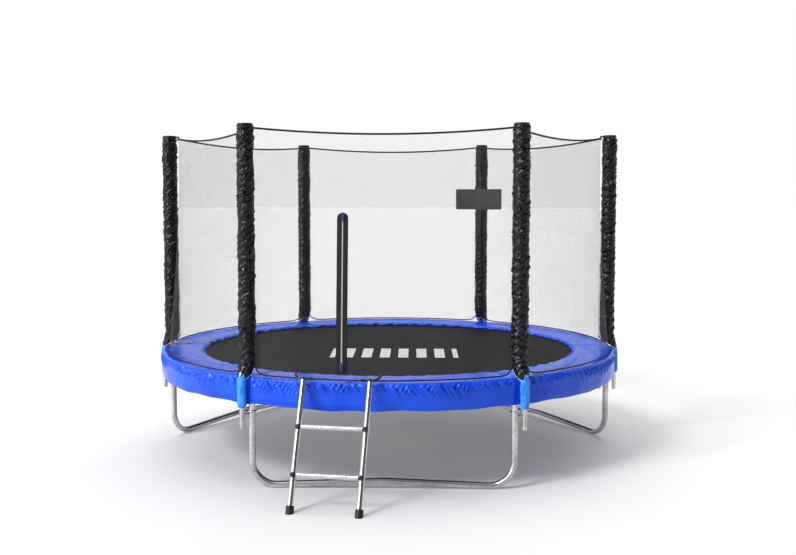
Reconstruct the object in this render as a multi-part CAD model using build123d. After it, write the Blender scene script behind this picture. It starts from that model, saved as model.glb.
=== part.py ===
"""Round backyard trampoline with a safety net and a ladder, one STEP file for each named piece.

Millimetres. +Z is up. The origin is on the ground under the middle of the ring, and the way in is at -Y.
Angles are degrees round Z from +X. A piece that repeats round the ring is built once at angle 0,
where +X is outwards and +Y runs along the ring, and is then turned into each of its places.
"""

import math
import os

from build123d import *

os.makedirs("parts", exist_ok=True)

# ---- driving dimensions ----
RING_R = 1495.0  # middle of the round top rail: a 3.05 m frame across the pads
RING_Z = 614.0  # middle of the top rail above the ground
FRAME_TUBE = 38.0  # rail and leg tube, outside
FRAME_BORE = 35.0
SPIGOT = 34.4  # reduced tube end that slides into the next tube
SPIGOT_BORE = 31.0
SOCKET_TUBE = 41.0  # leg socket welded under the rail
SOCKET_BORE = 38.5
SOCKET_FOOT_Z = 505.0
LEG_JOINT_Z = 250.0  # where a leg's extension meets its base
LEG_BEND = 140.0  # corner bend of a leg base
BASE_ARCH = 30.0  # a leg base's middle stands this much higher than its ends
LEG_ANGLES = [-120, -60, 0, 60, 120, 180]
BASE_ANGLES = {"front": -90, "right": 30, "left": 150}

POLE_FOOT_R = 1545.0  # a net pole's foot stands just outside the padding's skirt
POLE_R = 1491.0  # over the padding it bends in to here
POLE_BEND_Z = (668.0, 722.0)  # corners of that double bend
POLE_ASIDE = 34.0  # poles stand this far beside their leg, away from its base's middle
POLE_TUBE = 27.0
POLE_BORE = 24.0
POLE_FOOT_Z = 350.0
POLE_SPLICE_Z = 1180.0
POLE_TOP_Z = 2060.0
STUB_IN = 96.0  # the stub inside the rail stands this far in from the pole
STUB_TOP_Z = 540.0
CLAMP_Z = 446.0

SLEEVE = 95.0  # foam sleeve, outside
SLEEVE_FOOT_Z = 660.0
BOOT_Z = (470.0, 650.0)  # cloth boot round the foot of a pole
CAP_TOP_Z = 2074.0
NET_R = 1486.0  # hem of the net, over the edge of the padding
CORNER_R = 1430.0  # net corners, just inside the sleeves
NET_TOP_Z = 2052.0
NET_SAG = 36.0  # top rope between two poles
NET_FOOT_Z = 656.0
NET_LIFT = 56.0  # the hem climbs this much to each pole
NET_THICK = 2.0
ROPE = 11.0
HEM = 8.0

BED_Z = 620.0  # the mat and its springs
MAT_R = 1290.0
MAT_THICK = 3.0
SPRINGS = 60
SPRING_TUBE = 18.0
SPRING_IN_R = 1338.0
SPRING_OUT_R = 1462.0
SPRING_WIRE = 3.0
RING_WIRE = 4.0

PAD_IN_R = 1252.0
PAD_OUT_R = 1521.0
PAD_TOP_Z = 648.0
SKIRT_FOOT_Z = 490.0
SKIRT_THICK = 5.0

DOOR_AT = -98.7  # the zip's place round the net
DOOR_FOOT_Z = 694.0
DOOR_LENGTH = 895.0
DOOR_WIDE = 62.0
DOOR_OUT = 8.0  # its tape lies this far outside the middle of the net

LADDER_AT = -99.2
LADDER_FOOT_R = 1840.0
LADDER_TOP_R = 1545.0
LADDER_TOP_Z = 660.0
LADDER_HALF = 187.0  # rails either side of the ladder's middle
LADDER_TUBE = 32.0
LADDER_BORE = 29.0
STEP_UP = {"step_lower": 184.0, "step_upper": 420.0}


# ---- helpers ----
def turned(angle, shape):
    return Rot(0, 0, angle) * shape


def spun(section, start, stop):
    """A solid of revolution about Z from one angle to another; section is (radius, height) drawn on Plane.XZ."""
    return turned(start, revolve(Plane.XZ * section, Axis.Z, revolution_arc=stop - start))


def upright(x, y, low, high, outer, bore=0.0):
    """A vertical tube or rod standing at (x, y) from low to high."""
    height = high - low
    body = Pos(x, y, (low + high) / 2) * Cylinder(outer / 2, height)
    if bore:
        body -= Pos(x, y, (low + high) / 2) * Cylinder(bore / 2, height + 2)
    return body


def block(x0, x1, y0, y1, z0, z1):
    middle = Pos((x0 + x1) / 2, (y0 + y1) / 2, (z0 + z1) / 2)
    return middle * Box(x1 - x0, y1 - y0, z1 - z0)


def bent_path(points, bends):
    """Straight runs through the points with a round bend of the given radius at each inner one."""
    points = [Vector(*point) for point in points]
    edges = []
    start = points[0]
    for before, corner, after, radius in zip(points, points[1:], points[2:], bends):
        way_back = (before - corner).normalized()
        way_on = (after - corner).normalized()
        half = math.radians(way_back.get_angle(way_on)) / 2
        setback = radius / math.tan(half)
        to_middle = (way_back + way_on).normalized() * (radius / math.sin(half) - radius)
        bend_start = corner + way_back * setback
        bend_end = corner + way_on * setback
        edges.append(Line(start, bend_start))
        edges.append(ThreePointArc(bend_start, corner + to_middle, bend_end))
        start = bend_end
    edges.append(Line(start, points[-1]))
    return Wire([edge.edge() for edge in edges])


def rod(path, outer, bore=0.0):
    """A round rod, or a tube, along a path."""
    end = Plane(origin=path @ 0, z_dir=path % 0)
    body = sweep(end * Circle(outer / 2), path=path)
    if bore:
        body -= sweep(end * Circle(bore / 2), path=path)
    return body


def save(name, *shapes):
    """Write one node: every solid of the shapes, in one file."""
    solids = [solid for shape in shapes for solid in shape.solids()]
    export_step(Compound(children=solids) if len(solids) > 1 else solids[0], f"parts/{name}.step")


# ---- top rail: six curved tubes, each with one leg socket, spring holes and a spigot for the next ----
RAIL_START = -1.5
RAIL_STOP = 58.48
COLLAR_START = 57.9
SPIGOT_STOP = 60.2
SPRING_STEP = 360.0 / SPRINGS
spring_angles = [SPRING_STEP * (number + 0.5) for number in range(SPRINGS)]

rail_centre = Pos(RING_R, RING_Z)
rail = spun(rail_centre * Circle(FRAME_TUBE / 2), RAIL_START, RAIL_STOP)
rail += upright(RING_R, 0, SOCKET_FOOT_Z, RING_Z, SOCKET_TUBE)
rail -= spun(rail_centre * Circle(FRAME_BORE / 2), RAIL_START - 1, RAIL_STOP + 1)
rail -= upright(RING_R, 0, SOCKET_FOOT_Z - 1, RING_Z - 22, SOCKET_BORE)
for angle in [a for a in spring_angles if a < 60]:
    rail -= turned(angle, Pos(RING_R - 19, 0, BED_Z) * Rot(0, 90, 0) * Cylinder(3.5, 20))
collar = spun(rail_centre * Circle(FRAME_BORE / 2 + 0.4), COLLAR_START, RAIL_STOP - 0.1)
spigot = spun(rail_centre * Circle(SPIGOT / 2), COLLAR_START, SPIGOT_STOP)
spigot_bore = spun(rail_centre * Circle(SPIGOT_BORE / 2), COLLAR_START - 1, SPIGOT_STOP + 1)
rail += (collar + spigot) - spigot_bore
for number, angle in enumerate(LEG_ANGLES, start=1):
    save(f"top_rail_{number}", turned(angle, rail))

# ---- legs: an extension tube in each socket, and three U-shaped bases under them ----
extension = upright(RING_R, 0, LEG_JOINT_Z + 0.2, 590, FRAME_TUBE, FRAME_BORE)
save("leg_uprights", *[turned(angle, extension) for angle in LEG_ANGLES])

base_r = RING_R * math.cos(math.radians(30))
half_span = RING_R / 2
slope = math.atan(BASE_ARCH / half_span)
corner_z = FRAME_TUBE / 2 - LEG_BEND * (math.tan(slope) + 1 / math.cos(slope) - 1)
middle_z = corner_z + BASE_ARCH


def base_path(top_z):
    sides = [(base_r, -half_span), (base_r, half_span)]
    return bent_path(
        [
            (*sides[0], top_z),
            (*sides[0], corner_z),
            (base_r, 0, middle_z),
            (*sides[1], corner_z),
            (*sides[1], top_z),
        ],
        [LEG_BEND, 700, LEG_BEND],
    )


base = rod(base_path(LEG_JOINT_Z), FRAME_TUBE, FRAME_BORE)
for side in (-1, 1):
    y = side * half_span
    neck = upright(base_r, y, LEG_JOINT_Z - 14, LEG_JOINT_Z - 1, FRAME_BORE + 0.8)
    neck += upright(base_r, y, LEG_JOINT_Z - 14, LEG_JOINT_Z + 60, SPIGOT)
    neck -= upright(base_r, y, LEG_JOINT_Z - 16, LEG_JOINT_Z + 62, SPIGOT_BORE)
    base += neck
for name, angle in BASE_ANGLES.items():
    save(f"leg_base_{name}", turned(angle, base))

# ---- net poles: each stands beside its leg, with a stub inside the rail, a plate and a U-bolt ----
pole_sides = [
    (angle, 1 if any((angle - at) % 360 == 30 for at in BASE_ANGLES.values()) else -1)
    for angle in LEG_ANGLES
]
stub_r = POLE_FOOT_R - STUB_IN


def pole_line(y, low, high):
    """Up outside the skirt, in over the padding's edge, and up again."""
    points = [(POLE_FOOT_R, low), (POLE_FOOT_R, POLE_BEND_Z[0]), (POLE_R, POLE_BEND_Z[1]), (POLE_R, high)]
    return bent_path([(r, y, z) for r, z in points], [40, 40])


def lower_pole(side):
    y = side * POLE_ASIDE
    plate_y = sorted((side * (POLE_ASIDE - 14), side * (POLE_ASIDE - 10)))
    body = rod(pole_line(y, POLE_FOOT_Z, POLE_SPLICE_Z), POLE_TUBE)
    body += upright(stub_r, y, POLE_FOOT_Z, STUB_TOP_Z, POLE_TUBE)
    body += block(stub_r, POLE_FOOT_R, *plate_y, CLAMP_Z - 22, CLAMP_Z + 22)
    body -= rod(pole_line(y, POLE_FOOT_Z - 1, POLE_SPLICE_Z + 1), POLE_BORE)
    body -= upright(stub_r, y, POLE_FOOT_Z - 1, STUB_TOP_Z + 1, POLE_BORE)
    neck = upright(POLE_R, y, POLE_SPLICE_Z - 14, POLE_SPLICE_Z - 1, POLE_BORE + 0.8)
    neck += upright(POLE_R, y, POLE_SPLICE_Z - 14, POLE_SPLICE_Z + 60, 23.4)
    neck -= upright(POLE_R, y, POLE_SPLICE_Z - 16, POLE_SPLICE_Z + 62, 20.4)
    body += neck
    for reach in (-U_BOLT_R, U_BOLT_R):
        hole = Pos(RING_R + reach, side * (POLE_ASIDE - 12), CLAMP_Z) * Rot(90, 0, 0)
        body -= hole * Cylinder(4.4, 12)
    return body


U_BOLT_R = 23.6
U_BOLT_ROD = 8.0


def u_bolt(side):
    """A rod round the leg's far side, a saddle against the plate, and two nuts."""
    ends = side * (POLE_ASIDE + 4)
    far = -side * U_BOLT_R
    path = Wire(
        [
            Line((RING_R - U_BOLT_R, ends, CLAMP_Z), (RING_R - U_BOLT_R, 0, CLAMP_Z)).edge(),
            ThreePointArc(
                (RING_R - U_BOLT_R, 0, CLAMP_Z),
                (RING_R, far, CLAMP_Z),
                (RING_R + U_BOLT_R, 0, CLAMP_Z),
            ).edge(),
            Line((RING_R + U_BOLT_R, 0, CLAMP_Z), (RING_R + U_BOLT_R, ends, CLAMP_Z)).edge(),
        ]
    )
    pieces = [rod(path, U_BOLT_ROD)]
    y0, y1 = sorted((side * 8, side * (POLE_ASIDE - 14.2)))
    saddle = block(RING_R - 17, RING_R + 17, y0, y1, CLAMP_Z - 15, CLAMP_Z + 15)
    saddle -= upright(RING_R, 0, CLAMP_Z - 20, CLAMP_Z + 20, FRAME_TUBE + 0.2)
    pieces.append(saddle)
    for reach in (-U_BOLT_R, U_BOLT_R):
        seat = Pos(RING_R + reach, side * (POLE_ASIDE - 6.3), CLAMP_Z) * Rot(90, 0, 0)
        nut = extrude(RegularPolygon(6.5, 6, major_radius=False), 3.2, both=True)
        nut -= Cylinder(4.05, 10)
        pieces.append(seat * nut)
    return Compound(children=[solid for piece in pieces for solid in piece.solids()])


for number, (angle, side) in enumerate(pole_sides, start=1):
    save(f"lower_pole_{number}", turned(angle, lower_pole(side)))
save("pole_clamps", *[turned(angle, u_bolt(side)) for angle, side in pole_sides])


def at_poles(make):
    return [turned(angle, make(side * POLE_ASIDE)) for angle, side in pole_sides]


upper_poles = at_poles(
    lambda y: upright(POLE_R, y, POLE_SPLICE_Z + 0.2, POLE_TOP_Z, POLE_TUBE, POLE_BORE)
)
save("upper_poles", *upper_poles)


def pole_cap(y):
    """A round cap with a plug in the pole and an eyelet inwards that the net's top rope runs through."""
    cap = Pos(POLE_R, y, CAP_TOP_Z - 5) * Cylinder(SLEEVE / 2 - 4, 10)
    cap = fillet(cap.edges().group_by(Axis.Z)[-1], 4)
    cap += upright(POLE_R, y, POLE_TOP_Z - 30, CAP_TOP_Z - 5, POLE_BORE - 0.6)
    eyelet = Pos(CORNER_R, y, NET_TOP_Z) * Rot(90, 0, 0) * Torus(9.0, 2.0)
    stem = block(CORNER_R - 4, POLE_R - 30, y - 3, y + 3, NET_TOP_Z + 9.6, CAP_TOP_Z - 4)
    return cap + eyelet + stem


save("pole_caps", *at_poles(pole_cap))


def sleeve(y):
    """A round foam sleeve, slit at its foot where the pole bends in."""
    body = upright(POLE_R, y, SLEEVE_FOOT_Z, CAP_TOP_Z - 13, SLEEVE)
    body = fillet(body.edges().filter_by(GeomType.CIRCLE), 8)
    return body - rod(pole_line(y, BOOT_Z[1] - 4, CAP_TOP_Z), POLE_TUBE + 0.6)


for number, shape in enumerate(at_poles(sleeve), start=1):
    save(f"foam_sleeve_{number}", shape)



def boot(y):
    """An oval cloth tube over the foot of a pole, wider along the skirt than across it."""
    oval = Pos(POLE_FOOT_R + 1, y, BOOT_Z[0]) * extrude(Ellipse(22.5, 30), BOOT_Z[1] - BOOT_Z[0])
    return oval - upright(POLE_FOOT_R, y, BOOT_Z[0] - 1, BOOT_Z[1] + 1, POLE_TUBE + 0.6)


save("pole_boots", *at_poles(boot))

# ---- safety net: six panels, each ruled from a sagging rope side down to the hem ----
pole_turn = [side * math.degrees(math.atan2(POLE_ASIDE, CORNER_R)) for _, side in pole_sides]
corner_angles = [angle + turn for (angle, _), turn in zip(pole_sides, pole_turn)]
panels = []
ropes = []
hems = []
END_GAP = 0.35  # degrees between a panel's end and the middle of its pole


def on_net(radius, angle, z):
    return (
        radius * math.cos(math.radians(angle)),
        radius * math.sin(math.radians(angle)),
        z,
    )


for number, start in enumerate(corner_angles):
    stop = corner_angles[(number + 1) % 6]
    stop += 360 if stop < start else 0
    first = start + END_GAP
    last = stop - END_GAP
    top_start = Vector(*on_net(CORNER_R, first, NET_TOP_Z))
    top_end = Vector(*on_net(CORNER_R, last, NET_TOP_Z))
    top_middle = (top_start + top_end) / 2 - Vector(0, 0, NET_SAG)
    rope_line = ThreePointArc(top_start, top_middle, top_end).edge()
    top = rope_line.translate((0, 0, -ROPE / 2 - 0.2))
    low = [(0, 1.0), (1.5, 0.74), (3.3, 0.30), (5.4, 0.05), (8, 0.0)]
    ends = [(first + turn, lift) for turn, lift in low]
    ends += [(first + (last - first) * part, 0.0) for part in (0.25, 0.4, 0.5, 0.6, 0.75)]
    ends += [(last - turn, lift) for turn, lift in reversed(low)]
    heights = [NET_FOOT_Z + NET_LIFT * lift for _, lift in ends]
    reaches = [NET_R - (NET_R - CORNER_R) * lift for _, lift in ends]
    foot_points = [on_net(r, a, z) for r, (a, _), z in zip(reaches, ends, heights)]
    foot = Spline(foot_points).edge()
    surface = Face.make_surface_from_curves(top, foot)
    panels.append(thicken(surface, NET_THICK / 2, both=True))
    ropes.append(rod(Wire([rope_line]), ROPE))
    hem_points = [on_net(r + 7, a, z) for r, (a, _), z in zip(reaches, ends, heights)]
    hems.append(rod(Wire([Spline(hem_points).edge()]), HEM))
for number, panel in enumerate(panels, start=1):
    save(f"net_panel_{number}", panel)
save("net_rope", *ropes)
save("net_hem", *hems)

# ---- zip door in the front panel: tape with teeth, two sliders and their pull tabs ----
front_chord = -CORNER_R * math.sin(math.radians(corner_angles[0]))
door_x = NET_R * math.cos(math.radians(DOOR_AT))
net_foot_y = NET_R * math.sin(math.radians(DOOR_AT))
door_lean = math.degrees(math.atan2(-front_chord - net_foot_y, NET_TOP_Z - NET_SAG - NET_FOOT_Z))
door_low_y = net_foot_y + (DOOR_FOOT_Z - NET_FOOT_Z) * math.tan(math.radians(door_lean))
# In the door's own frame +X is to the right, -Y outwards and +Z up along the zip.
door = Pos(door_x, door_low_y - DOOR_OUT, DOOR_FOOT_Z) * Rot(-door_lean, 0, 0)
TAPE_THICK = 2.0
TEETH_WIDE = 8.0
SLIDER_LOW = 22.0
SLIDER_HIGH = DOOR_LENGTH - 20.0
tape = Pos(0, 0, DOOR_LENGTH / 2) * Box(DOOR_WIDE, TAPE_THICK, DOOR_LENGTH)
tape = fillet(tape.edges().filter_by(Axis.Y).group_by(Axis.Z)[-1], 28)
teeth = block(-TEETH_WIDE / 2, TEETH_WIDE / 2, -3.2, -TAPE_THICK / 2, 6, DOOR_LENGTH - 6)
save("zip_tape", door * (tape + teeth))


def slider(z):
    """A body over the teeth with a bridge for its pull tab, at height z along the zip."""
    body = block(-11, 11, -7.2, -3.5, z - 14, z + 14)
    body = fillet(body.edges().filter_by(Axis.Y), 5)
    for x in (-8, 5):
        body += block(x, x + 3, -13, -7, z - 3.5, z + 3.5)
    bridge = Pos(0, -11, z) * Rot(0, 90, 0) * Cylinder(1.4, 12)
    return body + bridge


def pull_tab(z):
    tab = block(-4.4, 4.4, -12.2, -9.8, z - 34, z)
    tab = fillet(tab.edges().filter_by(Axis.Y).group_by(Axis.Z)[0], 3)
    pin_line = Pos(0, -11, z) * Rot(0, 90, 0)
    return tab + pin_line * Cylinder(3.2, 8.8) - pin_line * Cylinder(1.75, 12)


for name, height in (("top", SLIDER_HIGH), ("bottom", SLIDER_LOW + 18)):
    save(f"zip_slider_{name}", door * slider(height))
    save(f"zip_pull_{name}", door * pull_tab(height))

# ---- plain badge strapped to the back right pole ----
badge_turn = corner_angles[LEG_ANGLES.index(60)]
badge = block(CORNER_R + 8, CORNER_R + 11, -200, 200, 1560, 1722)
badge = fillet(badge.edges().filter_by(Axis.X), 12)
badge -= block(CORNER_R + 7, CORNER_R + 8.8, -188, 188, 1572, 1710)
save("badge", turned(badge_turn, badge))

# ---- jumping bed: mat, sewn edge with tabs, wire rings and springs ----
save("mat", Pos(0, 0, BED_Z) * Cylinder(MAT_R - 0.5, MAT_THICK))
webbing_low = BED_Z + MAT_THICK / 2
edge = Pos(0, 0, webbing_low + 1.2) * (Cylinder(MAT_R - 0.5, 2.4) - Cylinder(MAT_R - 40, 4))
tab = block(MAT_R, MAT_R + 13, -12, 12, BED_Z - 4, BED_Z + 4)
tab -= Pos(MAT_R + 7, 0, BED_Z) * Rot(90, 0, 0) * Cylinder(2.6, 30)
save("mat_edge", edge, *[turned(angle, tab) for angle in spring_angles])

ring_in = MAT_R + 7
ring_out = MAT_R + 32
corners = [(ring_in, -22, BED_Z), (ring_in, 22, BED_Z), (ring_out, 0, BED_Z)]
start = ((ring_in), 0.0, BED_Z)
wire = bent_path([start, corners[1], corners[2], corners[0], start], [4, 4, 4])
wire_ring = rod(wire, RING_WIRE)
save("wire_rings", *[turned(angle, wire_ring) for angle in spring_angles])

coil = Pos((SPRING_IN_R + SPRING_OUT_R) / 2, 0, BED_Z) * Rot(0, 90, 0)
spring = coil * Cylinder(SPRING_TUBE / 2, SPRING_OUT_R - SPRING_IN_R)
inner_hook = bent_path(
    [
        (SPRING_IN_R + 2, 0, BED_Z + 4.5),
        (ring_out - 13, 0, BED_Z + 4.5),
        (ring_out - 13, 0, BED_Z - 5),
    ],
    [3],
)
outer_hook = bent_path(
    [
        (SPRING_OUT_R - 2, 0, BED_Z),
        (RING_R - 9, 0, BED_Z),
        (RING_R - 9, 0, BED_Z - 9),
    ],
    [3],
)
spring += rod(inner_hook, SPRING_WIRE)
spring += rod(outer_hook, SPRING_WIRE)
save("springs", *[turned(angle, spring) for angle in spring_angles])

# ---- padding: six lengths with a top over the springs and a skirt outside the rail ----
pad_profile = [
    (PAD_IN_R, BED_Z + 9),
    (PAD_IN_R + 48, BED_Z + 14),
    (PAD_OUT_R - SKIRT_THICK, BED_Z + 14),
    (PAD_OUT_R - SKIRT_THICK, SKIRT_FOOT_Z),
    (PAD_OUT_R, SKIRT_FOOT_Z),
    (PAD_OUT_R, PAD_TOP_Z - 9),
    (PAD_OUT_R - 9, PAD_TOP_Z),
    (PAD_IN_R + 44, PAD_TOP_Z),
    (PAD_IN_R + 8, BED_Z + 22),
    (PAD_IN_R, BED_Z + 17),
]
pad_face = make_face(Polyline(*pad_profile, close=True))
pad = spun(pad_face, 0.03, 59.97)
for number, angle in enumerate(LEG_ANGLES, start=1):
    save(f"edge_pad_{number}", turned(angle, pad))

tie = Pos(RING_R, 0, RING_Z) * Rot(90, 0, 0)
band = tie * (Cylinder(20.8, 20) - Cylinder(19.3, 24))
band -= block(RING_R - 30, RING_R + 30, -12, 12, RING_Z, RING_Z + 30)
for low, high in ((RING_R - 20.8, RING_R - 19.3), (RING_R + 19.3, RING_R + 20.8)):
    band += block(low, high, -10, 10, RING_Z - 0.5, BED_Z + 13.8)
tie_angles = [angle + turn for angle in LEG_ANGLES for turn in (12, 48)]
save("pad_ties", *[turned(angle, band) for angle in tie_angles])

# ---- ladder: two leaning rails, two treads, bolts, rubber feet and coated hooks ----
ladder_lean = math.atan2(LADDER_FOOT_R - LADDER_TOP_R, LADDER_TOP_Z)
rail_length = LADDER_TOP_Z / math.cos(ladder_lean)
# In the ladder's own frame +X is outwards square to it, +Y along its steps and +Z up its rails.
ladder = Rot(0, 0, LADDER_AT) * Pos(LADDER_FOOT_R, 0, 0) * Rot(0, -math.degrees(ladder_lean), 0)
step_places = {name: z / math.cos(ladder_lean) for name, z in STEP_UP.items()}
BOLT = 8.0


def ladder_rail(side):
    y = side * LADDER_HALF
    body = upright(0, y, 10, rail_length, LADDER_TUBE, LADDER_BORE)
    for z in step_places.values():
        body -= Pos(0, y, z) * Rot(0, 90, 0) * Cylinder(BOLT / 2 + 0.3, 60)
    return body


for name, side in (("left", -1), ("right", 1)):
    save(f"ladder_rail_{name}", ladder * ladder_rail(side))

TANG = 3.0
for name, z in step_places.items():
    half = LADDER_HALF - LADDER_TUBE / 2 - 1.0
    outline = Plane.XZ * SlotOverall(44, 22)
    hollow = Plane.XZ * SlotOverall(41, 19)
    tread = Pos(0, half, 0) * (extrude(outline, 2 * half) - extrude(hollow, 2 * half))
    for ridge in (-12, -6, 0, 6, 12):
        tread += block(ridge - 1, ridge + 1, -half, half, 10.2, 12)
    tang_x = -LADDER_TUBE / 2 - 0.3
    for side in (-1, 1):
        inner, outer = sorted((side * (half - 30), side * (LADDER_HALF + 14)))
        tang = block(tang_x - TANG, tang_x, inner, outer, -9, 9)
        tang -= Pos(tang_x, side * LADDER_HALF, 0) * Rot(0, 90, 0) * Cylinder(BOLT / 2 + 0.3, 20)
        tread += tang
    save(f"ladder_{name}", ladder * Pos(0, 0, z) * tread)

bolts = []
for z in step_places.values():
    for side in (-1, 1):
        spot = Pos(0, side * LADDER_HALF, z) * Rot(0, 90, 0)
        front = LADDER_TUBE / 2 + 0.2
        back = -LADDER_TUBE / 2 - 0.4 - TANG
        bolt = Pos(0, 0, (front + back - 12) / 2) * Cylinder(BOLT / 2, front - back + 12)
        cap = Pos(0, 0, front + 5) * Cylinder(14, 10)
        cap = fillet(cap.edges().group_by(Axis.Z)[-1], 6)
        nut = Pos(0, 0, back - 6.5) * extrude(RegularPolygon(6.5, 6, major_radius=False), 6.4)
        bolts.append(spot * (bolt + cap + nut))


def hook(side):
    """A coated rod across the rail's top that bends outwards, back and up, with a peg in the rail."""
    y = side * LADDER_HALF
    z = rail_length + 7.5
    points = [(0, y - side * 54, z), (0, y + side * 60, z), (-34, y + side * 50, z + 58)]
    body = rod(bent_path(points, [46]), 14)
    body += upright(0, y, rail_length - 26, rail_length + 6, LADDER_BORE - 0.6)
    body += upright(0, y, rail_length + 0.3, rail_length + 4, LADDER_TUBE)
    for reach in (0, -side * 42):
        body -= Pos(3, y + reach, z) * Rot(0, 55, 0) * Pos(0, 0, 8) * Cylinder(2.2, 22)
    return body


def hook_screws(side):
    y = side * LADDER_HALF
    z = rail_length + 7.5
    screws = []
    for reach in (0, -side * 42):
        spot = Pos(3, y + reach, z) * Rot(0, 55, 0)
        screw = Pos(0, 0, 4) * Cylinder(2, 9) + Pos(0, 0, 8.2) * Cylinder(5, 3)
        screws.append(spot * screw)
    return screws


screws = [screw for side in (-1, 1) for screw in hook_screws(side)]
save("ladder_bolts", *[ladder * piece for piece in bolts + screws])
save("ladder_hooks", *[ladder * hook(side) for side in (-1, 1)])


def foot(side):
    y = side * LADDER_HALF
    body = upright(0, y, -30, 40, 44)
    body = fillet(body.edges().group_by(Axis.Z)[-1], 5)
    body -= upright(0, y, 9.8, 60, LADDER_TUBE + 0.4)
    return body


ground = block(-4000, 4000, -4000, 4000, -200, 0)
save("ladder_feet", *[ladder * foot(side) - ground for side in (-1, 1)])
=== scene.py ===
"""Backyard trampoline: how its net, padding, mat, springs and metal are made to look real.

The metal frame comes in ready made, in metres, with +Z up and the ladder on the -Y side.
This script dresses it: soft pieces are worked out as surfaces, and every part gets a material.
"""

import bpy
import numpy as np
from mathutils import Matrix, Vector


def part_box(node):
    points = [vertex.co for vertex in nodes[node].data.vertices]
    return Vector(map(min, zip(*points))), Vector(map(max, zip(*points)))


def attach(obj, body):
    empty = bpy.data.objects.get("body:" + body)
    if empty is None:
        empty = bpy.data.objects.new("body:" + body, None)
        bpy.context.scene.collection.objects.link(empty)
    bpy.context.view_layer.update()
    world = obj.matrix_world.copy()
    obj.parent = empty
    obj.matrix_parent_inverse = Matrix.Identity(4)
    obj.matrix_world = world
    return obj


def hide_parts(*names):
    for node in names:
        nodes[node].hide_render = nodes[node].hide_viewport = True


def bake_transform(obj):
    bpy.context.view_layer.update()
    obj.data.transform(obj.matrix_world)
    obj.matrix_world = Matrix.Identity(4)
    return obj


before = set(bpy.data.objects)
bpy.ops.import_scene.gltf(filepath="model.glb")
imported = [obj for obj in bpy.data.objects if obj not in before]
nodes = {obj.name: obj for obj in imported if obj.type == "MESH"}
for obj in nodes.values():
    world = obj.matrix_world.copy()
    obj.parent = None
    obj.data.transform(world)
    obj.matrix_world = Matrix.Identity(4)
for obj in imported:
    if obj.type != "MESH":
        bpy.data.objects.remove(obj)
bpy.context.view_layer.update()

# %% [markdown]
# Everything below is set out from a few sizes of the frame. The legs and net poles stand on a circle,
# sixty degrees apart. Each pole stands a hand's width beside its leg, so its angle is worked out
# from that sidestep. Angles run round the vertical axis, from the +X side.

# %% Driving sizes, in metres
RAIL_R = 1.495
RAIL_Z = 0.614
POLE_R = 1.491
POLE_FOOT_R = 1.545
POLE_ASIDE = 0.034
POLE_TUBE_R = 0.0135
SLEEVE_R = 0.0475
CAP_LOW_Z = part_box("pole_caps")[1].z - 0.010
CORNER_R = 1.430
NET_R = 1.486
NET_TOP_Z = 2.052
NET_SAG = 0.036
NET_LOW_Z = 0.656
NET_LIFT = 0.056
BED_Z = 0.620
MAT_R = 1.2895
PAD_IN_R = 1.252
PAD_OUT_R = 1.521
PAD_TOP_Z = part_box("edge_pad_1")[1].z
SKIRT_LOW_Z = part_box("edge_pad_1")[0].z
SPRING_COUNT = 60
leg_angles = np.array([-120, -60, 0, 60, 120, 180], float)
pole_side = np.array([-1, 1, -1, 1, -1, 1], float)
net_corners = leg_angles + pole_side * np.degrees(np.arctan2(POLE_ASIDE, CORNER_R))
print("net corners, degrees", net_corners.round(2))

# %% [markdown]
# A surface in this script is a grid of points: rows run one way over it and columns the other.
# Blender wants a flat list of corners and a list of four-sided faces, and both come from the grid's
# row and column numbers as whole arrays. A soft thing has a skin on each side, so a shell
# takes an outer and an inner grid and sews them together round the rim, which leaves no open edge.


# %% Grids and shells become meshes
def quads_of(rows, columns, start=0, wrap=False):
    """Corner numbers of the faces between neighbouring rows and columns of a grid."""
    row = np.arange(rows - 1)[:, None]
    column = np.arange(columns if wrap else columns - 1)[None, :]
    after = (column + 1) % columns
    corners = [row * columns + column, row * columns + after]
    corners += [(row + 1) * columns + after, (row + 1) * columns + column]
    return start + np.stack([c + 0 * row + 0 * column for c in corners], -1).reshape(-1, 4)


def mesh_piece(name, points, quads, uv=None, sharp=False):
    """One mesh object from corner points and four-sided faces; uv gives each face's four corners."""
    mesh = bpy.data.meshes.new(name)
    mesh.vertices.add(len(points))
    mesh.vertices.foreach_set("co", np.ascontiguousarray(points, np.float32).ravel())
    mesh.loops.add(quads.size)
    mesh.loops.foreach_set("vertex_index", np.ascontiguousarray(quads, np.int32).ravel())
    mesh.polygons.add(len(quads))
    mesh.polygons.foreach_set("loop_start", np.arange(0, quads.size, 4, dtype=np.int32))
    mesh.polygons.foreach_set("use_smooth", np.full(len(quads), not sharp))
    if uv is not None:
        layer = mesh.uv_layers.new(name="metres")
        layer.data.foreach_set("uv", np.ascontiguousarray(uv, np.float32).ravel())
    mesh.update(calc_edges=True)
    mesh.validate()
    piece = bpy.data.objects.new(name, mesh)
    bpy.context.scene.collection.objects.link(piece)
    return piece


def grid_uv(rows, columns, high, wide, wrap=False):
    """Map of a grid in metres: across by column and up by row, unbroken where the grid closes."""
    row = np.arange(rows - 1)[:, None]
    column = np.arange(columns if wrap else columns - 1)[None, :]
    steps = columns if wrap else columns - 1
    across = [column, column + 1, column + 1, column]
    up = [row, row, row + 1, row + 1]
    pairs = [
        np.stack([a / steps * wide + 0 * row, u / (rows - 1) * high + 0 * column], -1)
        for a, u in zip(across, up)
    ]
    return np.stack(pairs, -2).reshape(-1, 4, 2)


def sheet_piece(name, grid, high, wide, wrap=False):
    """A single skin: one grid of points, as for an open net."""
    rows, columns = grid.shape[:2]
    quads = quads_of(rows, columns, 0, wrap)
    return mesh_piece(name, grid.reshape(-1, 3), quads, grid_uv(rows, columns, high, wide, wrap))


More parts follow.
